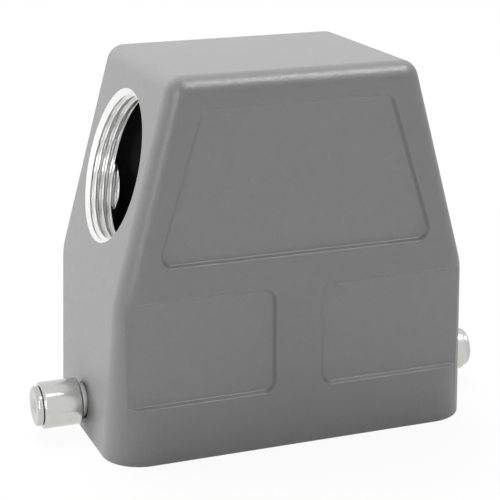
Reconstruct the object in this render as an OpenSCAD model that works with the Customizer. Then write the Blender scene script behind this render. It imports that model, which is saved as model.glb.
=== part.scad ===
// Hood of a heavy duty rectangular connector, with its ten-pole pin insert.
// The hood is a die-cast shell, open below, with a threaded cable entry in one
// leaning end and a locking peg with a turning roller on each end.
// X runs along the hood, Z is up, and the origin is the middle of the rim that
// the hood stands on. The cable entry is in the -X end.

/* [Hood] */
// Length of the hood at its rim
base_l = 73.7; // [72:0.1:77]
// Width of the hood at its rim
base_w = 43; // [42:0.1:47]
// Radius of the upright corners at the rim
base_r = 7.7; // [5:0.1:9]
// Height of the bend where the ends start to lean in
break_h = 31.9; // [30:0.1:34]
// How far each end has come in at the bend
break_in = 1.95; // [0.5:0.05:3]
// How far each side has come in at the bend
break_side = 0.25; // [0:0.05:0.8]
// Radius of the upright corners at the bend
break_r = 3.9; // [3.5:0.1:5]
// Height of the hood
hood_h = 72; // [70:0.5:78]
// How far each end has come in at the roof, measured to the sharp corner
top_in = 12.9; // [8:0.1:14]
// How far each side has come in at the roof, measured to the sharp corner
top_side = 0.75; // [0.5:0.05:1.5]
// Radius of the roof's edges
top_r = 3.5; // [2:0.1:4]
// Half the height over which the bend is eased
bend_run = 2; // [1:0.5:4]
// Edge break round the rim
rim_break = 0.4; // [0.2:0.1:0.8]
// Wall of the casting
wall = 2.8; // [2.2:0.1:3]
// Thickness of the roof
roof = 3; // [2.5:0.1:4]

/* [Sunk panels] */
// Depth of the panels in the long sides
panel_depth = 0.95; // [0.4:0.05:1.1]
// Run of the slanting wall round each panel
panel_run = 0.92; // [0.6:0.02:1.4]
// Corner radius of a panel's floor
panel_r = 1.7; // [1:0.1:3]
// Height of the upper panel's lower edge above the bend
upper_up = 5.55; // [4:0.05:8]
// Distance from the roof down to the upper panel's upper edge
upper_down = 5.15; // [4.5:0.05:10]
// Margin from the upper panel's lower corners to the leaning ends
upper_low_in = 6.4; // [4:0.1:10]
// Margin from the upper panel's upper corners to the leaning ends
upper_high_in = 6; // [4:0.1:10]
// Height of the lower panels' lower edge
lower_low = 11; // [8:0.1:14]
// Width of the stem that stands between the two lower panels
stem_w = 8.7; // [6:0.1:14]

/* [Cable entry] */
// Outer diameter of the entry thread
entry_d = 28.3; // [24:0.1:29]
// Distance from the roof down to the entry's centre
entry_down = 19.6; // [18:0.1:21]
// Length of the threaded wall
entry_wall = 4.9; // [4:0.1:6]
// Width of the pad round the thread, inside the hood
entry_pad = 3.4; // [2:0.1:4]
// Chamfer at the mouth of the thread
entry_chamfer = 0.4; // [0.2:0.1:0.8]

/* [Locking pegs] */
// Height of the pegs above the rim
peg_z = 6.3; // [6:0.1:8]
// Diameter of the pin inside its roller
pin_d = 6; // [5:0.1:6.4]
// Diameter of the pin's tail in the hood wall
tail_d = 5; // [4:0.1:5]
// Diameter of the collar that seats on the hood
collar_d = 6.6; // [6.4:0.1:8]
// Gap between the collar and the edge of its sunk seat
spot_gap = 0.3; // [0.2:0.05:0.5]
// Depth of the pin's tail below the inside of the wall
tail_short = 0.1; // [0:0.05:0.3]
// Distance from the seat of the collar to the roller
collar_l = 1.2; // [1:0.1:2.4]
// How far the seat is sunk below the wall at the peg's axis
seat_sink = 0.3; // [0.3:0.05:0.5]
// Outer diameter of the roller
roller_d = 9.1; // [8.8:0.1:10]
// Length of the roller
roller_l = 7.6; // [5:0.1:8]
// Edge radius of the roller
roller_edge = 0.5; // [0.3:0.1:1]
// Diameter of the pin's head
head_d = 7.8; // [7:0.1:8.4]
// Thickness of the pin's head
head_l = 1.1; // [0.9:0.1:2]
// Edge radius of the pin's head
head_edge = 0.5; // [0.3:0.1:0.6]
// Radial clearance of the roller on its pin
roller_gap = 0.05; // [0.02:0.01:0.1]
// End play of the roller, on each side
roller_play = 0.1; // [0.05:0.05:0.2]

/* [Insert seat] */
// Height of the four bosses' faces above the rim
seat_z = 19; // [19:0.5:21]
// Distance from the rim's ends to the insert's fixing screws
hole_end = 8.35; // [8:0.05:9]
// Distance from the rim's sides to the insert's fixing screws
hole_side = 8; // [7.5:0.1:9]
// Radius of the bosses' free corners
boss_r = 4.2; // [3.6:0.1:4.4]
// Distance from the roof down to the bosses' tops
boss_down = 23; // [22:0.5:28]
// Depth of the threaded holes in the bosses
tap_depth = 12; // [10:0.5:16]
// Diameter of the fixing screws
fixing_d = 4; // [3.5:0.5:4]
// Diameter of a fixing screw's head
fixing_head_d = 7; // [6.5:0.1:7]
// Thickness of a fixing screw's head
fixing_head_l = 2.6; // [2:0.1:3]
// Diametral clearance of a fixing screw in the insert
fixing_play = 0.4; // [0.2:0.1:0.6]
// Free length of fixing thread in a boss
fixing_grip = 9; // [6:0.5:9.5]

/* [Insert] */
// Margin from the fixing screws to the flange's edges
flange_margin = 3.5; // [3.2:0.1:3.8]
// Thickness of the insert's flange
flange_t = 3; // [2.5:0.1:4]
// Distance from the fixing screws to the terminal block's ends
block_end = 5.5; // [5.3:0.1:6]
// How far the terminal block stands out past the fixing screws' line
block_side = 0.5; // [0:0.1:0.8]
// Height of the terminal block above the flange
block_h = 17; // [15:0.5:18]
// Step from the terminal block's ends to the pin block's ends
nose_end = 1.5; // [1:0.1:2]
// Step from the terminal block's sides to the pin block's sides
nose_side = 3.5; // [3:0.1:4]
// Height of the pin block
nose_h = 6; // [5:0.5:7]
// Number of contacts in each of the two rows
per_row = 5; // [5:1:5]
// Distance from the terminal block's ends to the outer contacts
pitch_end = 7; // [6.5:0.1:8]
// Distance between the two rows
row_w = 13; // [12:0.1:13.4]
// Floor of plastic under a contact's terminal box
well_floor = 3; // [2:0.1:4]
// Upright corner radius of the flange
flange_r = 2; // [1:0.1:2.4]
// Upright corner radius of the two blocks
block_r = 1; // [0.5:0.1:1.5]
// Width of the coding grooves in the pin block's sides
groove_w = 2; // [1:0.1:3]
// Depth of the coding grooves
groove_depth = 0.9; // [0.5:0.1:1.2]
// Width of the slots that part one terminal from the next
slot_w = 0.8; // [0.6:0.1:1]
// Depth of those slots into the terminal block's sides
slot_depth = 3; // [2:0.5:3.5]
// Height of the slots' lower ends above the flange
slot_up = 2; // [1:0.5:4]
// Lead-in chamfer of the wire wells and the screw holes
lead_in = 0.4; // [0.2:0.1:0.4]

/* [Contacts] */
// Diameter of the contact pins
contact_d = 2.5; // [2.2:0.1:2.6]
// Height of the pins' tips above the rim
tip_z = 2.8; // [2:0.1:5]
// Diameter of the contact's shoulder
shoulder_d = 3.8; // [3.2:0.1:4.2]
// Width of the terminal box along the row
box_l = 5.4; // [4.8:0.1:5.6]
// Width of the terminal box across the row
box_w = 7; // [6.4:0.1:7.2]
// Height of the terminal box
box_h = 9; // [8:0.5:10]
// Diameter of the wire hole
wire_d = 3.2; // [2.8:0.1:3.4]
// Clearance of a contact in its plastic
fit_gap = 0.1; // [0.05:0.05:0.15]
// Length of the wider shoulder inside the pin block, from its face
shoulder_in = 1; // [0.5:0.1:3]
// Height of the terminal screw in its box, from the box's underside
terminal_up = 5; // [4:0.1:5.5]
// Diameter of the terminal screws
terminal_d = 3; // [2.5:0.1:3]
// Free length of a terminal screw between its box and its head
terminal_gap = 1.4; // [0.8:0.1:1.5]
// Diameter of a terminal screw's head
terminal_head_d = 5; // [4.5:0.1:5.2]
// Thickness of a terminal screw's head
terminal_head_l = 2; // [1.5:0.1:2.1]
// Radial clearance round a terminal screw's head
terminal_access = 0.3; // [0.2:0.05:0.4]

/* [Earth plates] */
// Thickness of the earth plates
plate_t = 1.2; // [0.8:0.1:1.4]
// Distance from the terminal block to the upright plate
plate_off = 1.6; // [1.2:0.1:1.8]
// Width of the upright plate
plate_w = 9; // [8:0.1:10]
// Height of the earth tongue's tip above the rim
tongue_z = 1.8; // [1.2:0.1:2.4]
// Height of the earth terminal above the insert's seat
earth_h = 7; // [6:0.1:8]
// Margin from the plate's ears to the flange's edge
ear_margin = 0.5; // [0.3:0.1:1]
// Width of the square clamp plates
clamp_w = 8; // [7:0.1:8]
// Thickness of the clamp plates
clamp_t = 1.2; // [0.8:0.1:1.5]
// Diameter of the earth screws
earth_d = 4; // [3.5:0.5:4]
// Diameter of an earth screw's head
earth_head_d = 7; // [6:0.1:7.5]
// Thickness of an earth screw's head
earth_head_l = 2.4; // [2:0.1:2.8]

/* [Hidden] */
$fn = 48;
eps = 0.01;
corner_steps = 9;
panel_steps = 6;
over = 1;

lean_l = atan((top_in - break_in) / (hood_h - break_h));
lean_w = atan((top_side - break_side) / (hood_h - break_h));
skirt_lean_w = atan(break_side / break_h);
cavity_top = hood_h - roof;
cavity_r = 2;

upper_low = break_h + upper_up;
upper_high = hood_h - upper_down;
upper_low_half = half_l(upper_low) - upper_low_in;
upper_high_half = half_l(upper_high) - upper_high_in;

entry_z = hood_h - entry_down;
entry_bore_r = entry_d / 2;
entry_reach = entry_wall + 2 * boss_r;
entry_x = half_l(entry_z);
seat_x = half_l(peg_z) - seat_sink;
roller_x = seat_x + collar_l + roller_play;
head_x = roller_x + roller_l + roller_play;
spot_d = collar_d + 2 * spot_gap;

hole_l = base_l - 2 * hole_end;
hole_w = base_w - 2 * hole_side;
boss_top = hood_h - boss_down;
flange_l = hole_l + 2 * flange_margin;
flange_w = hole_w + 2 * flange_margin;
block_l = hole_l - 2 * block_end;
block_w = hole_w + 2 * block_side;
nose_l = block_l - 2 * nose_end;
nose_w = block_w - 2 * nose_side;
pitch = (block_l - 2 * pitch_end) / (per_row - 1);
flange_low = seat_z - flange_t;
nose_low = flange_low - nose_h;
well_low = seat_z + well_floor;
terminal_z = well_low + terminal_up;
terminal_access_d = terminal_head_d + 2 * terminal_access;
fixing_hole_d = fixing_d + fixing_play;
plate_x = block_l / 2 + plate_off;
tongue_w = plate_w - 1;
ear_l = flange_l / 2 - plate_x - ear_margin;
ear_w = flange_w - 2 * ear_margin;
plate_top = seat_z + earth_h + clamp_w / 2;

contacts = [for (row = [-1, 1]) for (i = [0:per_row - 1])
    [(i - (per_row - 1) / 2) * pitch, row * row_w / 2]];
function contact_name(i) = str("contact_", i < 9 ? "0" : "", i + 1);

// ---- Outline and loft functions ----

function mix(a, b, t) = a + (b - a) * t;

// Outline with round corners. The centres run counter-clockwise.
function rounded(centres, r, steps) = [
    for (i = [0:len(centres) - 1])
        let (
            n = len(centres),
            here = centres[i],
            come = here - centres[(i + n - 1) % n],
            go = centres[(i + 1) % n] - here,
            start = atan2(come.y, come.x) - 90,
            raw = atan2(go.y, go.x) - 90,
            turn = raw < start ? raw + 360 - start : raw - start
        )
        for (k = [0:steps])
            let (a = start + turn * k / steps)
            here + r * [cos(a), sin(a)]];

// Corner centres of a rectangle with round corners
function rect_centres(hx, hy, r) =
    [for (s = [[-1, -1], [1, -1], [1, 1], [-1, 1]]) [s.x * (hx - r), s.y * (hy - r)]];

// Solid through a stack of rings that have the same number of points
module loft(rings) {
    n = len(rings[0]);
    m = len(rings);
    polyhedron(
        points = [for (ring = rings) each ring],
        faces = concat(
            [[for (i = [0:n - 1]) i]],
            [[for (i = [n - 1:-1:0]) (m - 1) * n + i]],
            [for (j = [0:m - 2]) for (i = [0:n - 1])
                let (a = j * n + i, b = j * n + (i + 1) % n)
                each [[a, b + n, b], [a, a + n, b + n]]]));
}

// ---- Form of the hood ----

// How far a side has come in at height z: an upright skirt, an eased bend, then a lean
function come_in(z, bend, top) =
    let (
        skirt = bend / break_h,
        lean = (top - bend) / (hood_h - break_h),
        u = z - break_h
    )
    u < -bend_run ? skirt * z
    : u > bend_run ? bend + lean * u
    : bend + skirt * u + (lean - skirt) * pow(u + bend_run, 2) / (4 * bend_run);

function half_l(z) = base_l / 2 - come_in(z, break_in, top_in);
function half_w(z) = base_w / 2 - come_in(z, break_side, top_side);
function corner(z) =
    z < break_h ? mix(base_r, break_r, z / break_h)
    : mix(break_r, top_r, min((z - break_h) / (hood_h - top_r - break_h), 1));

// Ring of the hood at height z, set in by a wall, under a top edge of radius edge
function hood_ring(z, inset, top, edge) =
    let (
        centre_z = top - edge,
        rise = max(z - centre_z, 0),
        arc = max(sqrt(max(edge * edge - rise * rise, 0)), 0.2),
        cx = half_l(centre_z) - inset - edge / cos(lean_l),
        cy = half_w(centre_z) - inset - edge / cos(lean_w),
        hx = rise > edge * sin(lean_l) ? cx + arc : half_l(z) - inset,
        hy = rise > edge * sin(lean_w) ? cy + arc : half_w(z) - inset,
        r = rise > 0 ? arc : max(corner(z) - inset, edge)
    )
    [for (p = rounded(rect_centres(hx, hy, r), r, corner_steps)) [p.x, p.y, z]];

bend_levels = [for (t = [-1, -0.33, 0.33, 1]) break_h + t * bend_run];
function edge_levels(top, edge) = [for (a = [0:15:90]) top - edge + edge * sin(a)];

module hood_outside() {
    loft(concat(
        [hood_ring(0, rim_break, hood_h, top_r)],
        [for (z = concat([rim_break], bend_levels, edge_levels(hood_h, top_r)))
            hood_ring(z, 0, hood_h, top_r)]));
}

module hood_inside() {
    loft([for (z = concat([-over], bend_levels, edge_levels(cavity_top, cavity_r)))
        hood_ring(z, wall, cavity_top, cavity_r)]);
}

// Points along the outward axis of the cable entry
module at_entry() {
    translate([-entry_x, 0, entry_z]) rotate([0, lean_l - 90, 0]) children();
}

// Corner bosses that carry the insert, and the pad that the thread is cut in
module inside_bosses() {
    reach = base_l / 2;
    for (sx = [-1, 1], sy = [-1, 1]) scale([sx, sy, 1]) {
        translate([hole_l / 2, hole_w / 2, seat_z]) {
            cylinder(r = boss_r, h = boss_top - seat_z);
            translate([0, -boss_r, 0]) cube([reach, reach, boss_top - seat_z]);
            translate([-boss_r, 0, 0]) cube([reach, reach, boss_top - seat_z]);
        }
    }
    at_entry() translate([0, 0, -entry_wall])
        cylinder(r = entry_bore_r + entry_pad, h = entry_wall + over);
}

// Pocket with slanting walls. The outline lies in the XY plane and faces +Z.
module pocket(centres) {
    profile = [
        [0, -panel_depth],
        [panel_run * 0.2, -panel_depth * 0.95],
        [panel_run * 0.34, -panel_depth * 0.8],
        [panel_run * 0.66, -panel_depth * 0.2],
        [panel_run * 0.8, -panel_depth * 0.05],
        [panel_run, 0],
        [panel_run * 1.3, panel_depth * 0.05],
        [panel_run * 1.3, over]];
    loft([for (step = profile)
        [for (p = rounded(centres, panel_r + step.x, panel_steps)) [p.x, p.y, step.y]]]);
}

// Floor corner centres of a panel that has straight upper and lower lips
function panel_centres(low, high, low_half, high_half) =
    let (in = panel_run + panel_r)
    [[-low_half + in, low + in], [low_half - in, low + in],
     [high_half - in, high - in], [-high_half + in, high - in]];

function stem_side_centres(low, high, near, far) =
    let (in = panel_run + panel_r)
    [[near + in, low + in], [far, low + in], [far, high - in], [near + in, high - in]];

module side_panels() {
    for (turn = [0, 180]) rotate([0, 0, turn]) {
        translate([0, -half_w(break_h + bend_run), break_h + bend_run]) rotate([90 - lean_w, 0, 0])
            translate([0, -break_h - bend_run, 0])
                pocket(panel_centres(upper_low, upper_high, upper_low_half, upper_high_half));
        for (flip = [0, 1]) mirror([flip, 0, 0])
            translate([0, -base_w / 2, 0]) rotate([90 - skirt_lean_w, 0, 0])
                pocket(stem_side_centres(lower_low, break_h, stem_w / 2, base_l / 2 + over));
    }
}

module entry_bore() {
    at_entry() {
        translate([0, 0, -entry_reach]) cylinder(d = entry_d, h = entry_reach + over);
        translate([0, 0, -entry_chamfer])
            cylinder(r1 = entry_bore_r, r2 = entry_bore_r + entry_chamfer + over,
                h = entry_chamfer + over);
    }
}

// Seat and hole of one locking peg, on the +X end
module peg_seat() {
    translate([seat_x, 0, peg_z]) rotate([0, 90, 0]) cylinder(d = spot_d, h = 2 * over);
    translate([0, 0, peg_z]) rotate([0, 90, 0])
        cylinder(d = tail_d, h = seat_x + over);
}

module fixing_taps() {
    for (sx = [-1, 1], sy = [-1, 1])
        translate([sx * hole_l / 2, sy * hole_w / 2, seat_z - over])
            cylinder(d = fixing_d, h = tap_depth + over);
}

module hood_shell() {
    color([0.45, 0.46, 0.47]) difference() {
        hood_outside();
        difference() {
            hood_inside();
            inside_bosses();
        }
        side_panels();
        entry_bore();
        for (flip = [0, 1]) mirror([flip, 0, 0]) peg_seat();
        fixing_taps();
    }
}

// ---- Locking pegs ----

// Half section of a disc from r_in to r_out with its outer edges rounded
module ring_section(r_in, r_out, length, edge, round_low = true) {
    low = round_low ? edge : 0;
    translate([r_in, 0]) square([r_out - r_in - edge, length]);
    translate([r_in, low]) square([r_out - r_in, length - edge - low]);
    translate([r_out - edge, length - edge]) circle(r = edge);
    if (round_low) translate([r_out - edge, edge]) circle(r = edge);
}

module along_peg(x) {
    translate([x, 0, peg_z]) rotate([0, 90, 0]) children();
}

// Stepped pin: a tail in the wall, a collar on its seat, a body and a head
module peg_pin() {
    tail_l = wall - seat_sink - tail_short;
    color([0.8, 0.8, 0.81]) {
        along_peg(seat_x - tail_l) cylinder(d = tail_d, h = tail_l + eps);
        along_peg(seat_x) cylinder(d = collar_d, h = collar_l);
        along_peg(seat_x) cylinder(d = pin_d, h = head_x - seat_x + eps);
        along_peg(head_x) rotate_extrude()
            ring_section(0, head_d / 2, head_l, head_edge, round_low = false);
    }
}

module peg_roller() {
    color([0.86, 0.86, 0.87]) along_peg(roller_x) rotate_extrude()
        ring_section(pin_d / 2 + roller_gap, roller_d / 2, roller_l, roller_edge);
}

// ---- Insert ----

module slab(l, w, h, r) {
    translate([-l / 2 + r, -w / 2, 0]) cube([l - 2 * r, w, h]);
    translate([-l / 2, -w / 2 + r, 0]) cube([l, w - 2 * r, h]);
    for (sx = [-1, 1], sy = [-1, 1])
        translate([sx * (l / 2 - r), sy * (w / 2 - r), 0]) cylinder(r = r, h = h);
}

// Funnel at the mouth of a wire well, which is l long and w wide
module well_mouth(l, w) {
    loft([for (up = [-lead_in, over]) let (grow = lead_in + up)
        [for (s = [[-1, -1], [1, -1], [1, 1], [-1, 1]])
            [s.x * (l / 2 + grow), s.y * (w / 2 + grow), up]]]);
}

// Well of one contact, with the hole for its pin and the access to its screw
module contact_well(p) {
    side = sign(p.y);
    access_r = terminal_access_d / 2;
    translate([p.x, p.y, seat_z + block_h]) well_mouth(box_l + 2 * fit_gap, box_w + 2 * fit_gap);
    translate([p.x, side * (block_w / 2 - lead_in), terminal_z]) rotate([-90 * side, 0, 0])
        cylinder(r1 = access_r, r2 = access_r + lead_in + over, h = lead_in + over);
    translate([p.x - box_l / 2 - fit_gap, p.y - box_w / 2 - fit_gap, well_low])
        cube([box_l + 2 * fit_gap, box_w + 2 * fit_gap, block_h + over]);
    translate([p.x, p.y, nose_low - over])
        cylinder(d = shoulder_d + 2 * fit_gap, h = well_low - nose_low + 2 * over);
    translate([p.x, p.y, terminal_z]) rotate([-90 * side, 0, 0])
        cylinder(d = terminal_access_d, h = block_w);
}

// Moulded body: a flange, the terminal block above it and the pin block below
module insert_body() {
    color([0.2, 0.2, 0.21]) difference() {
        union() {
            translate([0, 0, flange_low]) slab(flange_l, flange_w, flange_t, flange_r);
            translate([0, 0, seat_z - eps]) slab(block_l, block_w, block_h + eps, block_r);
            translate([0, 0, nose_low]) slab(nose_l, nose_w, nose_h + eps, block_r);
        }
        for (p = contacts) contact_well(p);
        for (sx = [-1, 1], sy = [-1, 1])
            translate([sx * hole_l / 2, sy * hole_w / 2, flange_low - over])
                cylinder(d = fixing_hole_d, h = flange_t + 2 * over);
        for (flip = [0, 1]) mirror([flip, 0, 0])
            translate([plate_x - fit_gap, -plate_w / 2 - fit_gap, flange_low - over])
                cube([plate_t + 2 * fit_gap, plate_w + 2 * fit_gap, flange_t + 2 * over]);
        for (i = [1:per_row - 1], sy = [-1, 1])
            translate([(i - per_row / 2) * pitch, sy * block_w / 2, seat_z + slot_up])
                translate([-slot_w / 2, -slot_depth, 0]) cube([slot_w, 2 * slot_depth, block_h]);
        for (sx = [-1, 1], sy = [-1, 1])
            translate([sx * 1.5 * pitch - groove_w / 2, sy * nose_w / 2 - groove_depth, nose_low - over])
                cube([groove_w, 2 * groove_depth, nose_h + over]);
    }
}

// Turned pin with a round tip, a shoulder in the plastic and a box for the wire
module contact(p) {
    r = contact_d / 2;
    shoulder_z = nose_low + shoulder_in;
    wire_low = terminal_z - terminal_d;
    color([0.83, 0.82, 0.78]) translate([p.x, p.y, 0]) difference() {
        union() {
            translate([0, 0, tip_z + r]) sphere(r = r);
            translate([0, 0, tip_z + r]) cylinder(r = r, h = shoulder_z - tip_z - r + eps);
            translate([0, 0, shoulder_z])
                cylinder(d = shoulder_d, h = well_low - shoulder_z + eps);
            translate([-box_l / 2, -box_w / 2, well_low]) cube([box_l, box_w, box_h]);
        }
        translate([0, 0, wire_low]) cylinder(d = wire_d, h = box_h + over);
        translate([0, 0, terminal_z]) rotate([-90 * sign(p.y), 0, 0])
            cylinder(d = terminal_d, h = box_w);
    }
}

// Cheese-head screw along +Z: the head's underside is at z = 0
module slotted_screw(d, shank, head_d, head_l) {
    difference() {
        union() {
            translate([0, 0, -shank]) cylinder(d = d, h = shank + eps);
            cylinder(d = head_d, h = head_l);
        }
        translate([-head_d, -d / 8, head_l * 0.5]) cube([2 * head_d, d / 4, head_l]);
    }
}

module terminal_screws() {
    under_head = box_w / 2 + terminal_gap;
    shank = under_head - wire_d / 2 + eps;
    color([0.8, 0.79, 0.74]) for (p = contacts)
        translate([p.x, p.y + sign(p.y) * under_head, terminal_z]) rotate([-90 * sign(p.y), 0, 0])
            slotted_screw(terminal_d, shank, terminal_head_d, terminal_head_l);
}

module fixing_screws() {
    shank = plate_t + flange_t + fixing_grip;
    color([0.8, 0.8, 0.8]) for (sx = [-1, 1], sy = [-1, 1])
        translate([sx * hole_l / 2, sy * hole_w / 2, flange_low - plate_t]) rotate([180, 0, 0])
            slotted_screw(fixing_d, shank, fixing_head_d, fixing_head_l);
}

// Stamped plate on the +X end: a tongue below, a terminal above and two ears
module earth_plate() {
    color([0.75, 0.75, 0.75]) difference() {
        union() {
            translate([plate_x, -tongue_w / 2, tongue_z])
                cube([plate_t, tongue_w, flange_low - tongue_z]);
            translate([plate_x, -plate_w / 2, flange_low - plate_t])
                cube([plate_t, plate_w, plate_top - flange_low + plate_t]);
            translate([plate_x, -ear_w / 2, flange_low - plate_t]) cube([ear_l, ear_w, plate_t]);
        }
        for (sy = [-1, 1]) translate([hole_l / 2, sy * hole_w / 2, flange_low - plate_t - over])
            cylinder(d = fixing_hole_d, h = plate_t + 2 * over);
        translate([plate_x - over, 0, seat_z + earth_h]) rotate([0, 90, 0])
            cylinder(d = earth_d, h = plate_t + 2 * over);
    }
}

// Square clamp plate under the head of the earth screw
module earth_clamp() {
    color([0.78, 0.78, 0.78]) difference() {
        translate([plate_x + plate_t, -clamp_w / 2, seat_z + earth_h - clamp_w / 2])
            cube([clamp_t, clamp_w, clamp_w]);
        translate([plate_x, 0, seat_z + earth_h]) rotate([0, 90, 0])
            cylinder(d = earth_d, h = plate_t + clamp_t + over);
    }
}

module earth_screws() {
    color([0.76, 0.76, 0.74]) for (flip = [0, 1]) mirror([flip, 0, 0])
        translate([plate_x + plate_t + clamp_t, 0, seat_z + earth_h]) rotate([0, 90, 0])
            slotted_screw(earth_d, plate_t + clamp_t, earth_head_d, earth_head_l);
}

// ---- Nodes ----

hood_shell();
mirror([1, 0, 0]) peg_pin();  // left_peg_pin
peg_pin();  // right_peg_pin
mirror([1, 0, 0]) peg_roller();  // left_peg_roller
peg_roller();  // right_peg_roller
insert_body();
terminal_screws();
fixing_screws();
earth_screws();
mirror([1, 0, 0]) earth_plate();  // left_earth_plate
earth_plate();  // right_earth_plate
mirror([1, 0, 0]) earth_clamp();  // left_earth_clamp
earth_clamp();  // right_earth_clamp
for (i = [0:len(contacts) - 1])
    contact(contacts[i]);
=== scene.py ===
# %% [markdown]
# # A heavy duty rectangular connector, dressed for its portrait
# The solid model gives every piece its true size. This lesson adds what a solid
# model leaves out: small edge radii, a cut thread, wrinkled paint, turned metal,
# and the light that shows them.

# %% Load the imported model
import math

import bpy
from mathutils import Matrix, Vector


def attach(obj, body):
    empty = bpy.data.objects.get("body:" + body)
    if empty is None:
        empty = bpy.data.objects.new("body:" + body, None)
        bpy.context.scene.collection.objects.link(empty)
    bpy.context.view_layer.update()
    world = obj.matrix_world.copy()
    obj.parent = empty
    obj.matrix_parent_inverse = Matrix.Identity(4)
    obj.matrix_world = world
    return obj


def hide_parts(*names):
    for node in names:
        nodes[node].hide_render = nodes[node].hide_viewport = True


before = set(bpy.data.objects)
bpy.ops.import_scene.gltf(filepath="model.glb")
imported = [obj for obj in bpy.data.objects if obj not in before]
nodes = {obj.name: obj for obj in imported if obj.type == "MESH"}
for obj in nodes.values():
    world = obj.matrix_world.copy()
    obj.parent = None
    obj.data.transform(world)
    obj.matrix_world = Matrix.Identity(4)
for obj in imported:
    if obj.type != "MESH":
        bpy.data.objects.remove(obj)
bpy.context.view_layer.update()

# %% [markdown]
# ## One way to write every material
# Nodes can be placed and linked one by one, but a node tree is easier to read as a
# formula. `Wire` holds one output socket, and plus, minus and times on it add Math
# nodes. All other nodes come from its one method `node`, so that each finish below
# reads as a few lines of arithmetic.

# %% Wires: shader sockets that can be added and multiplied


class Wire:
    """One output of a node tree. Python's operators on it add Math nodes."""

    def __init__(self, tree, socket=None):
        self.tree = tree
        self.socket = socket

    def node(self, kind, settings=None, sockets=None, out=0):
        """A new node: its settings first, then the values or links of its sockets."""
        made = self.tree.nodes.new(kind)
        for key, value in (settings or {}).items():
            setattr(made, key, value)
        for key, value in (sockets or {}).items():
            if isinstance(value, Wire):
                self.tree.links.new(value.socket, made.inputs[key])
            else:
                made.inputs[key].default_value = value
        return Wire(self.tree, made.outputs[out]) if len(made.outputs) else made

    def math(self, operation, a, b=0.0):
        return self.node("ShaderNodeMath", {"operation": operation}, {0: a, 1: b})

    def __add__(self, other):
        return self.math("ADD", self, other)

    def __sub__(self, other):
        return self.math("SUBTRACT", self, other)

    def __rsub__(self, other):
        return self.math("SUBTRACT", other, self)

    def __mul__(self, other):
        return self.math("MULTIPLY", self, other)

    __radd__ = __add__
    __rmul__ = __mul__


def new_material(name):
    """An empty material, and a wire to start its nodes from."""
    made = bpy.data.materials.new(name)
    made.use_nodes = True
    made.node_tree.nodes.clear()
    return made, Wire(made.node_tree)


print("wires ready")

# %% [markdown]
# Every finish starts with a place on the piece. Object coordinates are metres in
# the shared frame, so a grain of 0.4 mm stays 0.4 mm on every piece. Noise gives
# the grain, a Bump node turns it into slopes, and the shader does the rest.

# %% Noise, bump and surface helpers


def place(start):
    """Where a point lies, in metres."""
    return start.node("ShaderNodeTexCoord", out="Object")


def stretched(start, where, stretch):
    """The same place with each axis scaled, which draws noise out into lines."""
    return start.node("ShaderNodeVectorMath", {"operation": "MULTIPLY"}, {0: where, 1: stretch})


def grain(start, where, size, detail=2.0, roughness=0.5):
    """Noise from 0 to 1 whose grains are about size metres across."""
    return start.node("ShaderNodeTexNoise", {"noise_dimensions": "3D"}, {
        "Vector": where, "Scale": 1.0 / size, "Detail": detail, "Roughness": roughness})


def slope(start, height, distance):
    """The bent normal of a surface whose height, 0 to 1, spans distance metres."""
    return start.node("ShaderNodeBump", None, {
        "Height": height, "Distance": distance, "Strength": 1.0})


def tinted(start, amount, dark, light):
    """A colour between dark and light, by a number from 0 to 1."""
    return start.node("ShaderNodeMix", {"data_type": "RGBA", "clamp_factor": True}, {
        0: amount, 6: (*dark, 1), 7: (*light, 1)}, out=2)


def tints(colour, spread):
    """A darker and a lighter shade of a colour."""
    return [c * (1 - spread) for c in colour], [c * (1 + spread) for c in colour]


def surface(start, sockets):
    """The shader that all of a finish feeds, and the material's output."""
    shader = start.node("ShaderNodeBsdfPrincipled", None, sockets)
    start.node("ShaderNodeOutputMaterial", None, {"Surface": shader})


print("helpers ready")

# %% [markdown]
# ## The wrinkled powder coat
# The casting carries a grey powder coat with a fine wrinkle, coarser where the
# powder lay thicker in the sunk panels. The wrinkle could be modelled, but its
# grains are half a millimetre wide and far too many. Noise makes it instead: fine
# and broad grains bend the light, and the fine ones also move the roughness, so
# that the highlights break into specks.

# %% Powder coat
COAT_SPREAD, COAT_ROUGHENING, DRIFT_SIZE, COAT_IOR = 0.12, 0.25, 0.02, 1.46


def powder_coat(name, colour, wrinkle, wrinkle_size, roughness):
    made, start = new_material(name)
    where = place(start)
    fine = grain(start, where, wrinkle_size, 3.0, 0.55)
    broad = grain(start, where, wrinkle_size * 4.5, 2.0)
    drift = grain(start, where, DRIFT_SIZE, 2.0)
    tone = fine * 0.5 + broad * 0.3 + drift * 0.2
    surface(start, {
        "Base Color": tinted(start, tone, *tints(colour, COAT_SPREAD)),
        "Roughness": fine * COAT_ROUGHENING + (roughness - COAT_ROUGHENING / 2),
        "IOR": COAT_IOR,
        "Normal": slope(start, fine + broad * 0.8, wrinkle)})
    return made


raised_coat = powder_coat("raised_coat", (0.25, 0.25, 0.25), 0.00005, 0.00045, 0.42)
sunk_coat = powder_coat("sunk_coat", (0.265, 0.265, 0.265), 0.0001, 0.00055, 0.46)
# The coat inside is near-black as painted shade of the cavity; the real coat there is grey.
inside_coat_painted_shade = powder_coat("inside_coat_painted_shade", (0.012, 0.012, 0.012), 0.00003, 0.0006, 0.7)
print("coats:", raised_coat.name, sunk_coat.name, inside_coat_painted_shade.name)

# %% [markdown]
# ## Bare and plated metal
# A turned piece shows rings round its axis, and a plated stamping shows a soft
# mottle. A painted image would need every piece unwrapped first. Noise in the
# piece's own space needs no unwrapping: across the axis it is drawn out into
# rings, and left even it is mottle.

# %% Metals and plastic
RING_SIZE, RING_DRAWN_OUT, TURNED_ROUGHENING, PLATED_ROUGHENING = 0.00012, 0.02, 0.12, 0.2
X_AXIS, Z_AXIS = 0, 2


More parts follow.
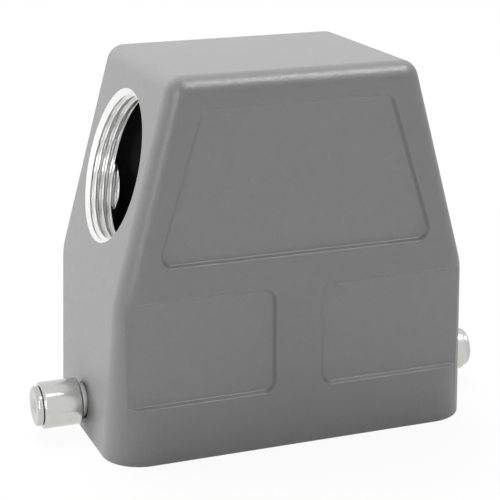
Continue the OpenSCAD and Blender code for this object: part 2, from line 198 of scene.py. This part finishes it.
def turned_metal(name, colour, roughness, rings, axis):
    made, start = new_material(name)
    where = place(start)
    along = [RING_DRAWN_OUT] * 3
    along[axis] = 1.0
    lathe = grain(start, stretched(start, where, along), RING_SIZE, 2.0)
    mottle = grain(start, where, 0.0012, 3.0)
    surface(start, {
        "Base Color": tinted(start, mottle, tints(colour, 0.1)[0], colour),
        "Metallic": 1.0,
        "Roughness": mottle * TURNED_ROUGHENING + (roughness - TURNED_ROUGHENING / 2),
        "Normal": slope(start, lathe, rings)})
    return made


def plated_metal(name, colour, roughness, mottle_depth):
    made, start = new_material(name)
    where = place(start)
    fine = grain(start, where, 0.0004, 3.0)
    broad = grain(start, where, 0.003, 2.0)
    surface(start, {
        "Base Color": tinted(start, broad, tints(colour, 0.15)[0], colour),
        "Metallic": 1.0,
        "Roughness": broad * PLATED_ROUGHENING + (roughness - PLATED_ROUGHENING / 2),
        "Normal": slope(start, fine, mottle_depth)})
    return made


def moulded_plastic(name, colour, roughness):
    made, start = new_material(name)
    where = place(start)
    fine = grain(start, where, 0.0003, 2.0)
    broad = grain(start, where, 0.004, 2.0)
    surface(start, {
        "Base Color": tinted(start, broad, *tints(colour, 0.1)),
        "Roughness": fine * 0.15 + roughness,
        "Normal": slope(start, fine, 0.00001)})
    return made


cut_thread = turned_metal("cut_thread", (0.96, 0.96, 0.95), 0.42, 0.000003, X_AXIS)
peg_nickel = turned_metal("peg_nickel", (0.56, 0.56, 0.55), 0.2, 0.0000015, X_AXIS)
roller_nickel = turned_metal("roller_nickel", (0.6, 0.6, 0.59), 0.16, 0.0000012, X_AXIS)
screw_zinc = plated_metal("screw_zinc", (0.76, 0.77, 0.79), 0.32, 0.000004)
sheet_tin = plated_metal("sheet_tin", (0.7, 0.7, 0.69), 0.38, 0.000005)
contact_silver = turned_metal("contact_silver", (0.85, 0.83, 0.78), 0.25, 0.000003, Z_AXIS)
# The insert is near-black as painted shade of the dark cavity; its own plastic is light grey.
insert_plastic_painted_shade = moulded_plastic("insert_plastic_painted_shade", (0.045, 0.045, 0.048), 0.5)
print("metals and plastic ready")

# %% [markdown]
# ## The form of the hood
# The hood is a stack of rounded rectangles: an upright skirt, an eased bend, ends
# that lean in, and a round top edge. A cube with bevels can't taper its corners
# as a casting does, so the form is built from rings. The same few sizes as in the
# solid model give every ring, with many more rings and corner points, so that
# light runs smoothly over the corners.

# %% Sizes of the hood, in millimetres
MM = 0.001
BASE_L, BASE_W, BASE_R = 73.7, 43.0, 7.7
BREAK_H, BREAK_IN, BREAK_SIDE, BREAK_R = 31.9, 1.95, 0.25, 3.9
HOOD_H, TOP_IN, TOP_SIDE, TOP_R = 72.0, 12.9, 0.75, 3.5
BEND_RUN, RIM_BREAK, WALL, ROOF = 2.0, 0.4, 2.8, 3.0
CORNER_STEPS, SMALLEST_ARC = 20, 0.02
LEAN_L = math.atan((TOP_IN - BREAK_IN) / (HOOD_H - BREAK_H))
LEAN_W = math.atan((TOP_SIDE - BREAK_SIDE) / (HOOD_H - BREAK_H))
SKIRT_LEAN_W = math.atan(BREAK_SIDE / BREAK_H)
print("the ends lean in by %.2f degrees" % math.degrees(LEAN_L))

# %% [markdown]
# A ring is the hood's outline at one height. Near the top it follows a quarter
# round, so the ring shrinks as it climbs. The inset gives the inner face of the
# wall from the same function, which keeps the wall even.

# %% Rings of the hood


def come_in(z, bend, top):
    """How far a side has come in at height z."""
    skirt, lean, u = bend / BREAK_H, (top - bend) / (HOOD_H - BREAK_H), z - BREAK_H
    if u < -BEND_RUN:
        return skirt * z
    if u > BEND_RUN:
        return bend + lean * u
    return bend + skirt * u + (lean - skirt) * (u + BEND_RUN) ** 2 / (4 * BEND_RUN)


def half_l(z):
    return BASE_L / 2 - come_in(z, BREAK_IN, TOP_IN)


def half_w(z):
    return BASE_W / 2 - come_in(z, BREAK_SIDE, TOP_SIDE)


def corner(z):
    """Radius of the upright corners at height z."""
    if z < BREAK_H:
        return BASE_R + (BREAK_R - BASE_R) * z / BREAK_H
    return BREAK_R + (TOP_R - BREAK_R) * min((z - BREAK_H) / (HOOD_H - TOP_R - BREAK_H), 1)


def rounded(centres, radius, steps):
    """Points of an outline with round corners. The centres run counter-clockwise."""
    points = []
    for i, here in enumerate(centres):
        come, go = here - centres[i - 1], centres[(i + 1) % len(centres)] - here
        begin = math.atan2(come.y, come.x) - math.pi / 2
        turn = (math.atan2(go.y, go.x) - math.pi / 2 - begin) % (2 * math.pi)
        for k in range(steps + 1):
            angle = begin + turn * k / steps
            points.append(here + radius * Vector((math.cos(angle), math.sin(angle))))
    return points


def rect_centres(half_x, half_y, radius):
    return [Vector((sx * (half_x - radius), sy * (half_y - radius)))
            for sx, sy in ((-1, -1), (1, -1), (1, 1), (-1, 1))]


def hood_ring(z, inset, top, edge):
    """The outline at height z, moved in by inset, under a roof edge of radius edge."""
    centre_z = top - edge
    rise = max(z - centre_z, 0.0)
    arc = max(math.sqrt(max(edge ** 2 - rise ** 2, 0.0)), SMALLEST_ARC)
    core_x = half_l(centre_z) - inset - edge / math.cos(LEAN_L)
    core_y = half_w(centre_z) - inset - edge / math.cos(LEAN_W)
    half_x = core_x + arc if rise > edge * math.sin(LEAN_L) else half_l(z) - inset
    half_y = core_y + arc if rise > edge * math.sin(LEAN_W) else half_w(z) - inset
    radius = arc if rise > 0 else max(corner(z) - inset, edge)
    outline = rounded(rect_centres(half_x, half_y, radius), radius, CORNER_STEPS)
    return [(p.x * MM, p.y * MM, z * MM) for p in outline]


print("rim ring has", len(hood_ring(0, 0, HOOD_H, TOP_R)), "points")

# %% [markdown]
# Rings become a solid by joining each to the next with quads and closing both
# ends. Cutting is done with booleans: the real hood is cast round cores and then
# bored, and cutting the same shapes from a block is the direct way to say that.

# %% Solids from rings, and cutting


def at(x, y, z):
    """A move, from millimetres."""
    return Matrix.Translation((x * MM, y * MM, z * MM))


def circle(radius, z, points):
    """A ring of points in metres round the Z axis, from sizes in millimetres."""
    return [(radius * MM * math.cos(a), radius * MM * math.sin(a), z * MM)
            for a in (2 * math.pi * i / points for i in range(points))]


def solid(name, points, faces):
    data = bpy.data.meshes.new(name)
    data.from_pydata([tuple(p) for p in points], [], faces)
    made = bpy.data.objects.new(name, data)
    bpy.context.scene.collection.objects.link(made)
    return made


def loft(name, rings):
    """A closed solid through rings that have the same number of points."""
    n = len(rings[0])
    faces = [list(range(n - 1, -1, -1)), list(range((len(rings) - 1) * n, len(rings) * n))]
    for j in range(len(rings) - 1):
        for i in range(n):
            a, b = j * n + i, j * n + (i + 1) % n
            faces.append([a, b, b + n, a + n])
    return solid(name, [p for ring in rings for p in ring], faces)


def applied(piece):
    """The piece with its modifiers made part of its mesh."""
    graph = bpy.context.evaluated_depsgraph_get()
    data = bpy.data.meshes.new_from_object(piece.evaluated_get(graph))
    piece.modifiers.clear()
    old = piece.data
    piece.data = data
    bpy.data.meshes.remove(old)
    return piece


def cut(piece, tool):
    """Take the tool's form out of the piece, and throw the tool away."""
    change = piece.modifiers.new("cut", "BOOLEAN")
    change.object, change.operation, change.solver = tool, "DIFFERENCE", "MANIFOLD"
    applied(piece)
    old = tool.data
    bpy.data.objects.remove(tool)
    bpy.data.meshes.remove(old)
    return piece


def drum(name, radius, low, high, place_at, segments=96):
    made = loft(name, [circle(radius, z, segments) for z in (low, high)])
    made.data.transform(place_at)
    return made


def block(name, low, high):
    (x0, y0, z0), (x1, y1, z1) = [[c * MM for c in corner_at] for corner_at in (low, high)]
    return loft(name, [[(x0, y0, z), (x1, y0, z), (x1, y1, z), (x0, y1, z)] for z in (z0, z1)])


print("cutting helpers ready")

# %% [markdown]
# The casting starts as a full block and a core, as in the foundry. The block's rim
# is eased by a small quarter round. The core is the block drawn in by the wall,
# and needs fewer rings because little of it is seen.

# %% The outside and the cavity
CORE_EDGE, CORE_BELOW = 2.0, -1.0
BEND_LEVELS = [BREAK_H + BEND_RUN * t / 6 for t in range(-6, 7)]


def edge_levels(top, edge, steps):
    """Heights that step evenly round the roof's edge."""
    return [top - edge + edge * math.sin(math.pi / 2 * k / steps) for k in range(steps + 1)]


rim = [hood_ring(RIM_BREAK * (1 - math.cos(a)), RIM_BREAK * (1 - math.sin(a)), HOOD_H, TOP_R)
       for a in (0, math.pi / 8, math.pi / 4, 3 * math.pi / 8)]
hood = loft("hood_casting", rim + [
    hood_ring(z, 0, HOOD_H, TOP_R)
    for z in [RIM_BREAK] + BEND_LEVELS + edge_levels(HOOD_H, TOP_R, 14)])
cavity = loft("cavity", [
    hood_ring(z, WALL, HOOD_H - ROOF, CORE_EDGE)
    for z in [CORE_BELOW] + BEND_LEVELS[::3] + edge_levels(HOOD_H - ROOF, CORE_EDGE, 6)])
print("outside faces:", len(hood.data.polygons))

# %% [markdown]
# ## Inside: bosses, pad and taps
# The cavity core leaves four corner bosses, which carry the insert, and a pad
# round the entry that gives the thread its depth. They could be added to the
# hood afterwards, but then every join would need cleaning. Taken away from the
# core before the core is cut from the hood, they join the wall by themselves.

# %% Bosses and entry pad
HOLE_L, HOLE_W, SEAT_Z, BOSS_R, BOSS_TOP = 57.0, 27.0, 19.0, 4.2, 49.0
ENTRY_R, ENTRY_Z, ENTRY_WALL, ENTRY_PAD = 14.15, 52.4, 4.9, 3.4
entry_turn = at(-half_l(ENTRY_Z), 0, ENTRY_Z) @ Matrix.Rotation(LEAN_L - math.pi / 2, 4, "Y")
web_reach = BASE_L / 2
for sx in (-1, 1):
    for sy in (-1, 1):
        xs, ys = sx * HOLE_L / 2, sy * HOLE_W / 2
        cut(cavity, drum("boss", BOSS_R, SEAT_Z, BOSS_TOP, at(xs, ys, 0)))
        for dx, dy in ((0, BOSS_R), (BOSS_R, 0)):
            x0, x1 = sorted((xs - sx * dx, xs + sx * web_reach))
            y0, y1 = sorted((ys - sy * dy, ys + sy * web_reach))
            cut(cavity, block("web", (x0, y0, SEAT_Z), (x1, y1, BOSS_TOP)))
cut(cavity, drum("pad", ENTRY_R + ENTRY_PAD, -ENTRY_WALL, 1.0, entry_turn))
cut(hood, cavity)
print("hollow hood faces:", len(hood.data.polygons))

# %% [markdown]
# ## The sunk panels
# Each long side has one tall sunk panel above the bend and two below it, with a
# stem left standing between them. The wall of a panel leans out and meets the
# floor and the face in small radii, so a band of light and shade runs round it.
# A bevel after the cut would stumble over the hood's round corners. So the cutter
# itself carries the whole section, from the floor to just above the face.

# %% Panel section and cutters
PANEL_DEPTH, PANEL_RUN, PANEL_R, WALL_TILT = 0.95, 0.92, 1.7, math.radians(62)
PANEL_ROUND, LIP_OUT, LIP_UP, CLEAR_OF_FACE = 0.34, 0.25, 0.012, 1.0
UPPER_LOW, UPPER_HIGH = BREAK_H + 5.55, HOOD_H - 5.15
UPPER_LOW_HALF, UPPER_HIGH_HALF = half_l(UPPER_LOW) - 6.4, half_l(UPPER_HIGH) - 6.0
LOWER_LOW, STEM_W = 11.0, 8.7


def panel_section():
    """Run and height of a panel's wall: floor radius, slope, lip radius."""
    steps = [WALL_TILT * k / 6 for k in range(7)]
    foot = [(PANEL_ROUND * math.sin(a), -PANEL_DEPTH + PANEL_ROUND * (1 - math.cos(a)))
            for a in steps]
    lip = [(PANEL_RUN - x, -PANEL_DEPTH - y) for x, y in reversed(foot)]
    tail = [(PANEL_RUN + LIP_OUT, LIP_UP), (PANEL_RUN + LIP_OUT, CLEAR_OF_FACE)]
    return foot + lip + tail


SECTION = panel_section()
print("panel wall:", len(SECTION), "points")


def panel_cutter(name, centres, turn):
    """A cutter that grows from the panel's floor by the section's run."""
    rings = []
    for run, height in SECTION:
        outline = rounded(centres, PANEL_R + run, 10)
        rings.append([(p.x * MM, p.y * MM, height * MM) for p in outline])
    made = loft(name, rings)
    made.data.transform(turn)
    return made


def face_turn(y, z, lean, side):
    """From a cutter drawn flat to a long side of the hood, which leans back."""
    return (Matrix.Rotation(math.pi * side, 4, "Z") @ at(0, y, z)
            @ Matrix.Rotation(math.pi / 2 - lean, 4, "X") @ at(0, -z, 0))


grow = PANEL_RUN + PANEL_R
upper_centres = [Vector(p) for p in (
    (-UPPER_LOW_HALF + grow, UPPER_LOW + grow), (UPPER_LOW_HALF - grow, UPPER_LOW + grow),
    (UPPER_HIGH_HALF - grow, UPPER_HIGH - grow), (-UPPER_HIGH_HALF + grow, UPPER_HIGH - grow))]
near, past_end = STEM_W / 2 + grow, BASE_L / 2 + 1
right_centres = [Vector(p) for p in (
    (near, LOWER_LOW + grow), (past_end, LOWER_LOW + grow),
    (past_end, BREAK_H - grow), (near, BREAK_H - grow))]
left_centres = [Vector((-p.x, p.y)) for p in (right_centres[i] for i in (1, 0, 3, 2))]
bend_top = BREAK_H + BEND_RUN
for side in (0, 1):
    cut(hood, panel_cutter("upper_panel", upper_centres,
                               face_turn(-half_w(bend_top), bend_top, LEAN_W, side)))
    for name, centres in (("right_panel", right_centres), ("left_panel", left_centres)):
        cut(hood, panel_cutter(name, centres, face_turn(-BASE_W / 2, 0, SKIRT_LEAN_W, side)))
print("faces with panels:", len(hood.data.polygons))

# %% [markdown]
# ## The threaded entry
# A gland screws into the leaning end. The thread is a real helix: a drum whose
# radius rises and falls once a pitch, and whose pattern moves on by one pitch a
# turn. Bump alone would leave the edge of the hole smooth, where the ridges show
# most. So the drum is cut from the hood as a tap would cut it, and the ridges are
# metal of the casting itself.

# %% Tap for the entry thread
PITCH, THREAD_DEPTH, CREST_FLAT = 25.4 / 16, 0.6, 0.22
TAP_LOW, TAP_HIGH, TAP_POINTS, LEVELS_A_PITCH, FLANK_EASE = -13.3, 0.9, 112, 14, 0.35


def tap_radius(phase):
    """Radius at a phase from 0 to 1 of one pitch: a rounded root, flanks and a crest."""
    away = abs(phase % 1.0 - 0.5) * 2
    ramp = min(max((away - CREST_FLAT) / (1 - 2 * CREST_FLAT), 0.0), 1.0)
    eased = ramp * ramp * (3 - 2 * ramp)
    return ENTRY_R - THREAD_DEPTH * (1 - (FLANK_EASE * eased + (1 - FLANK_EASE) * ramp))


def entry_tap():
    """A drum with the thread's form, set in the leaning end."""
    levels = int((TAP_HIGH - TAP_LOW) / PITCH * LEVELS_A_PITCH)
    rings = []
    for j in range(levels + 1):
        z = TAP_LOW + (TAP_HIGH - TAP_LOW) * j / levels
        ring = []
        for i in range(TAP_POINTS):
            angle = 2 * math.pi * i / TAP_POINTS
            r = tap_radius(z / PITCH - i / TAP_POINTS)
            ring.append((r * MM * math.cos(angle), r * MM * math.sin(angle), z * MM))
        rings.append(ring)
    made = loft("tap", rings)
    made.data.transform(entry_turn)
    return made


cut(hood, entry_tap())

# %% Lead-in of the thread
ENTRY_CHAMFER = 0.55
MOUTH = ((-0.9, -ENTRY_CHAMFER - 0.65), (0.0, -ENTRY_CHAMFER + 0.1),
         (ENTRY_CHAMFER, 0.0), (ENTRY_CHAMFER + 1, 1.0))
mouth_cutter = loft("mouth", [circle(ENTRY_R + grow_by, z, 128) for grow_by, z in MOUTH])
mouth_cutter.data.transform(entry_turn)
cut(hood, mouth_cutter)
print("faces with thread:", len(hood.data.polygons))

# %% [markdown]
# ## Seats and holes
# Each peg stands on a spot face that is milled a little into the leaning end, and
# its tail is pressed into a bore. The bosses are drilled for the insert's screws.
# Plain drums cut all of these, since a mill and a drill leave plain drums.

# %% Peg seats and screw holes
PEG_Z, SEAT_SINK, SPOT_R, TAIL_R = 6.3, 0.3, 3.6, 2.5
SCREW_R, SCREW_BELOW, SCREW_DEEP = 2.0, 1, 12
seat_x = half_l(PEG_Z) - SEAT_SINK
for sx in (-1, 1):
    across = at(0, 0, PEG_Z) @ Matrix.Rotation(sx * math.pi / 2, 4, "Y")
    cut(hood, drum("peg_seat", SPOT_R, seat_x, seat_x + 2, across))
    cut(hood, drum("peg_hole", TAIL_R, 0, seat_x + 1, across, 48))
    for sy in (-1, 1):
        post = at(sx * HOLE_L / 2, sy * HOLE_W / 2, 0)
        cut(hood, drum("screw_hole", SCREW_R, SEAT_Z - SCREW_BELOW, SEAT_Z + SCREW_DEEP, post, 48))
print("finished casting faces:", len(hood.data.polygons))

# %% [markdown]
# ## One finish for each region of the casting
# The coat covers the outside, the thread is cut after painting and stays bare,
# and the coat inside is near-black as painted shade, since little light reaches it.
# Each cutter could bring its own finish through the cuts. Giving each face its
# finish from where it lies is simpler, and safer when a cut changes.

# %% Finishes by region
PAINTED, SUNK, BARE, INSIDE = range(4)
THREAD_IN, THREAD_OUT, THREAD_DEEP, FACING_OUT = 1.0, 0.7, 9.0, 0.95
INSIDE_DEPTH, FLOOR_DEPTHS, FLOOR_LEVELS, FACING_SIDE = 1.4, (0.5, 1.2), (8, 68), 0.99
entry_back = entry_turn.inverted()


def depth_in(point):
    """How far a point lies inside the hood's outline at its height."""
    z, r = point.z, corner(point.z)
    deep_x, deep_y = half_l(z) - abs(point.x), half_w(z) - abs(point.y)
    if deep_x < r and deep_y < r:
        return r - math.hypot(r - deep_x, r - deep_y)
    return min(deep_x, deep_y)


def region(face):
    """Which finish a face of the casting has."""
    middle, normal = face.center / MM, face.normal
    along = (entry_back @ face.center) / MM
    out_of_entry = entry_back.to_3x3() @ normal
    radius = math.hypot(along.x, along.y)
    if ENTRY_R - THREAD_IN < radius < ENTRY_R + THREAD_OUT and along.z > -THREAD_DEEP:
        if along.z < -0.02 or out_of_entry.z < FACING_OUT:
            return BARE
    deep = depth_in(middle)
    if deep > INSIDE_DEPTH and middle.z < HOOD_H - ROOF + 0.01:
        return INSIDE
    on_panel = (FLOOR_DEPTHS[0] < deep < FLOOR_DEPTHS[1]
                and FLOOR_LEVELS[0] < middle.z < FLOOR_LEVELS[1])
    return SUNK if on_panel and abs(normal.y) > FACING_SIDE else PAINTED


def dress_casting(piece):
    """Give each face its finish. The cuts leave empty slots, so those go first."""
    piece.data.materials.clear()
    for finish in (raised_coat, sunk_coat, cut_thread, inside_coat_painted_shade):
        piece.data.materials.append(finish)
    counts = [0] * 4
    for face in piece.data.polygons:
        face.material_index = region(face)
        counts[face.material_index] += 1
    return counts


EDGE_WEIGHT = 60


def smooth(piece, angle=35.0):
    """Smooth shading that leaves the real edges sharp and keeps broad faces flat."""
    piece.data.polygons.foreach_set("use_smooth", [True] * len(piece.data.polygons))
    piece.data.set_sharp_from_angle(angle=math.radians(angle))
    weigh = piece.modifiers.new("weigh", "WEIGHTED_NORMAL")
    weigh.keep_sharp, weigh.weight = True, EDGE_WEIGHT
    return applied(piece)


print("faces by region:", dress_casting(hood))
smooth(hood)
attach(hood, "hood")
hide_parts("hood_shell")

# %% [markdown]
# ## The locking pegs
# Each peg is a turned pin with a collar on its seat, and a loose roller that the
# housing's lever rolls over. Stacked cylinders would have knife edges. Turning is
# what a lathe does, so a half section is swept round the axis, with small radii
# where the real edges are broken.

# %% Turning a half section
QUARTER = math.pi / 2


def arc_points(x, r, radius, begin, end, steps):
    """Points of a quarter round in the half section, as (along, radius) pairs."""
    return [(x + radius * math.cos(begin + (end - begin) * k / steps),
             r + radius * math.sin(begin + (end - begin) * k / steps)) for k in range(steps + 1)]


def turned(name, section, side, segments=96, closed=False):
    """A solid of revolution about the peg's axis, on the end named by side."""
    points, faces, n = [], [], len(section)
    for i in range(segments):
        angle = 2 * math.pi * i / segments
        for x, r in section:
            y, z = r * math.cos(angle) * MM, (PEG_Z + r * math.sin(angle)) * MM
            points.append((side * x * MM, y, z))
    for i in range(segments):
        j = (i + 1) % segments
        for k in range(n if closed else n - 1):
            m = (k + 1) % n
            quad = [i * n + k, i * n + m, j * n + m, j * n + k]
            faces.append(quad if side > 0 else quad[::-1])
    made = solid(name, points, faces)
    weld = made.modifiers.new("weld", "WELD")
    weld.merge_threshold = 1e-7
    return applied(made)


print("lathe ready")

# %% Pins and rollers
COLLAR_R, COLLAR_L, PIN_R, ROLLER_R, ROLLER_L, ROLLER_EDGE = 3.3, 1.2, 3.0, 4.55, 7.6, 0.5
HEAD_R, HEAD_L, HEAD_EDGE, PLAY, BORE_GAP = 3.9, 1.1, 0.5, 0.1, 0.05
TAIL_EDGE, COLLAR_EDGE, BORE_EDGE, NICK, HAIR = 0.3, 0.2, 0.15, 0.1, 0.01
CENTRE_MARK = ((0.0, 1.0), (0.25, 0.55), (0.3, 0.0))
roller_x = seat_x + COLLAR_L + PLAY
head_x = roller_x + ROLLER_L + PLAY
tail_x = seat_x - (WALL - SEAT_SINK - 0.1)
collar_x, face_x, bore_r = seat_x + COLLAR_L, head_x + HEAD_L, PIN_R + BORE_GAP
far_x = roller_x + ROLLER_L
pin_section = (
    [(tail_x, 0.0), (tail_x, TAIL_R - TAIL_EDGE), (tail_x + TAIL_EDGE, TAIL_R),
     (seat_x, TAIL_R), (seat_x, COLLAR_R - NICK), (seat_x + NICK, COLLAR_R)]
    + arc_points(collar_x - COLLAR_EDGE, COLLAR_R - COLLAR_EDGE, COLLAR_EDGE, QUARTER, 0, 4)
    + [(collar_x, PIN_R + HAIR), (collar_x + HAIR, PIN_R), (head_x - HAIR, PIN_R),
       (head_x, PIN_R + HAIR), (head_x, HEAD_R - NICK), (head_x + NICK, HEAD_R)]
    + arc_points(face_x - HEAD_EDGE, HEAD_R - HEAD_EDGE, HEAD_EDGE, QUARTER, 0, 8)
    + [(face_x - deep, r) for deep, r in CENTRE_MARK])
roller_section = (
    [(roller_x, bore_r + BORE_EDGE), (roller_x, ROLLER_R - ROLLER_EDGE)]
    + arc_points(roller_x + ROLLER_EDGE, ROLLER_R - ROLLER_EDGE, ROLLER_EDGE, math.pi, QUARTER, 8)
    + arc_points(far_x - ROLLER_EDGE, ROLLER_R - ROLLER_EDGE, ROLLER_EDGE, QUARTER, 0, 8)
    + [(far_x, bore_r + BORE_EDGE), (far_x - BORE_EDGE, bore_r), (roller_x + BORE_EDGE, bore_r)])
for side, word in ((-1, "left"), (1, "right")):
    pin = turned(word + "_pin", pin_section, side)
    pin.data.materials.append(peg_nickel)
    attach(smooth(pin), "hood")
    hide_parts(word + "_peg_pin")
    roller = turned(word + "_sleeve", roller_section, side, closed=True)
    roller.data.materials.append(roller_nickel)
    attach(smooth(roller), word + "_roller")
    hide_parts(word + "_peg_roller")
    print(word, "peg:", len(pin.data.polygons), "and", len(roller.data.polygons), "faces")

# %% [markdown]
# ## The insert and its metalwork
# Inside sit the moulded insert, its contacts and screws, and the earth plates.
# Their solids already have the right form, so nothing is modelled twice. Real
# edges are never knife-sharp, so each piece is copied and its edges get a small
# bevel that catches the light.

# %% Bevelled copies of the inner pieces
FLAT_WITHIN, BEVEL_FROM, SHARP_FROM = math.radians(0.5), math.radians(40.0), 50.0


def softened(node, name, finish, slot_name, width):
    """A copy of a solid whose edges are eased by width, in millimetres."""
    made = nodes[node].copy()
    made.data = nodes[node].data.copy()
    made.name = name
    for key in list(made.keys()):
        del made[key]
    made.parent = None
    bpy.context.scene.collection.objects.link(made)
    weld = made.modifiers.new("weld", "WELD")
    weld.merge_threshold = 1e-6
    applied(made)
    flat = made.modifiers.new("flat", "DECIMATE")
    flat.decimate_type, flat.angle_limit = "DISSOLVE", FLAT_WITHIN
    bevel = made.modifiers.new("bevel", "BEVEL")
    bevel.width, bevel.segments, bevel.limit_method = width * MM, 2, "ANGLE"
    bevel.angle_limit, bevel.use_clamp_overlap = BEVEL_FROM, True
    applied(made)
    made.data.materials.clear()
    made.data.materials.append(finish)
    smooth(made, SHARP_FROM)
    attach(made, "hood")
    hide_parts(node)
    return made


INNER = [
    ("insert_body", "insert_moulding", insert_plastic_painted_shade, "moulded_plastic", 0.2),
    ("terminal_screws", "wire_screws", screw_zinc, "zinc_steel", 0.08),
    ("fixing_screws", "insert_screws", screw_zinc, "zinc_steel", 0.12),
    ("earth_screws", "ground_screws", screw_zinc, "zinc_steel", 0.12),
    ("left_earth_plate", "left_ground_plate", sheet_tin, "stamped_steel", 0.12),
    ("right_earth_plate", "right_ground_plate", sheet_tin, "stamped_steel", 0.12),
    ("left_earth_clamp", "left_ground_clamp", sheet_tin, "stamped_steel", 0.12),
    ("right_earth_clamp", "right_ground_clamp", sheet_tin, "stamped_steel", 0.12)]
for i in range(1, 11):
    INNER.append(("contact_%02d" % i, "pole_%02d" % i, contact_silver, "silvered_brass", 0.06))
for row in INNER:
    piece = softened(*row)
    print(piece.name, len(piece.data.polygons), "faces")

# %% [markdown]
# ## Floor, light and camera
# The hood stands on a pale floor in an even white room. More light would whiten
# the floor but wash out the hood. Instead the floor glows for rays that come from
# the camera, a mirror or a clear piece, and a small part of it stays a lit matt
# surface, which takes the hood's soft shadow.

# %% Floor
FLOOR_GLOW = 0.94


def plain_ray(start):
    """1 for rays from the camera, a mirror or a clear piece, and 0 for the rest."""
    seen = start.node("ShaderNodeLightPath", out="Is Camera Ray")
    mirrored = start.node("ShaderNodeLightPath", out="Is Glossy Ray")
    through = start.node("ShaderNodeLightPath", out="Is Transmission Ray")
    return start.math("MAXIMUM", start.math("MAXIMUM", seen, mirrored), through)


floor = solid("floor", [(-4, -4, 0), (4, -4, 0), (4, 4, 0), (-4, 4, 0)], [[0, 1, 2, 3]])
white_floor, start = new_material("white_floor")
matt = start.node("ShaderNodeBsdfDiffuse", None, {"Color": (0.8, 0.8, 0.8, 1)})
glow = start.node("ShaderNodeEmission", None, {"Color": (1, 1, 1, 1), "Strength": 1.0})
mixed = start.node("ShaderNodeMixShader", None, {
    0: plain_ray(start) * FLOOR_GLOW, 1: matt, 2: glow})
start.node("ShaderNodeOutputMaterial", None, {"Surface": mixed})
floor.data.materials.append(white_floor)
print("floor ready")

# %% [markdown]
# The room answers the same rays with plain white. For all other rays it is a weak
# fill, so that no shadow is quite black and the lamps still shape the hood.

# %% World
world = bpy.data.worlds.new("white_room")
bpy.context.scene.world = world
world.use_nodes = True
world.node_tree.nodes.clear()
start = Wire(world.node_tree)
FILL = 0.2
strength = plain_ray(start) * (1 - FILL) + FILL
room = start.node("ShaderNodeBackground", None, {"Color": (1, 1, 1, 1), "Strength": strength})
start.node("ShaderNodeOutputWorld", None, {"Surface": room})
print("room fill:", FILL)

# %% [markdown]
# A broad light hangs over the hood and a little behind it, another stands behind
# its left end, and a weak one fills the front. Small lamps would give hard spots
# on the coat, so all are wide. Two more are seen only as shine: one draws the
# bright line on the top front edge, and one the line down the left edge.

# %% Lights
AIM = Vector((0, 0, 0.035))


def soft_light(name, towards, distance, size, power, glossy=False, diffuse=True):
    """An area light in a direction from the hood, facing it."""
    data = bpy.data.lights.new(name, "AREA")
    data.shape, data.size, data.size_y, data.energy = "RECTANGLE", size[0], size[1], power
    made = bpy.data.objects.new(name, data)
    bpy.context.scene.collection.objects.link(made)
    away = Vector(towards).normalized()
    made.location = AIM + away * distance
    made.rotation_euler = away.to_track_quat("Z", "Y").to_euler()
    made.visible_glossy = glossy
    made.visible_diffuse = diffuse


soft_light("overhead", (0.0, 0.34, 0.94), 1.0, (0.7, 0.7), 13.0)
soft_light("left_back", (-0.84, 0.54, 0.05), 1.0, (0.6, 0.6), 10.5)
soft_light("front_fill", (0.15, -0.9, 0.3), 1.2, (0.8, 0.5), 2.0)
soft_light("top_line", (0.36, -0.34, 0.87), 1.0, (0.3, 0.16), 9.0, glossy=True, diffuse=False)
soft_light("edge_line", (-0.7, -0.7, 0.3), 1.0, (0.08, 0.5), 5.0, glossy=True, diffuse=False)
print("lights ready")

# %% [markdown]
# The camera looks from the left front and a little from above, through a long
# lens, so that the ends stay nearly parallel. Its place is worked out from two
# angles and a distance, which are easier to adjust than three coordinates.

# %% Camera
AZIMUTH, ELEVATION, ROLL = math.radians(-20.92), math.radians(16.85), math.radians(-0.11)
lens = bpy.data.cameras.new("portrait")
DISTANCE = 0.31803
lens.lens, lens.sensor_width = 116.45, 36.0
camera = bpy.data.objects.new("portrait", lens)
bpy.context.scene.collection.objects.link(camera)
aim = Vector((-0.00178, 0, 0.0328))
away = Vector((math.cos(ELEVATION) * math.sin(AZIMUTH), -math.cos(ELEVATION) * math.cos(AZIMUTH),
               math.sin(ELEVATION)))
camera.location = aim + away * DISTANCE
camera.rotation_euler = (away.to_track_quat("Z", "Y").to_matrix().to_4x4()
                         @ Matrix.Rotation(ROLL, 4, "Z")).to_euler()
lens.clip_start = 0.01
bpy.context.scene.camera = camera
bpy.context.scene.view_settings.view_transform = "Standard"
print("camera at", tuple(round(c, 4) for c in camera.location))
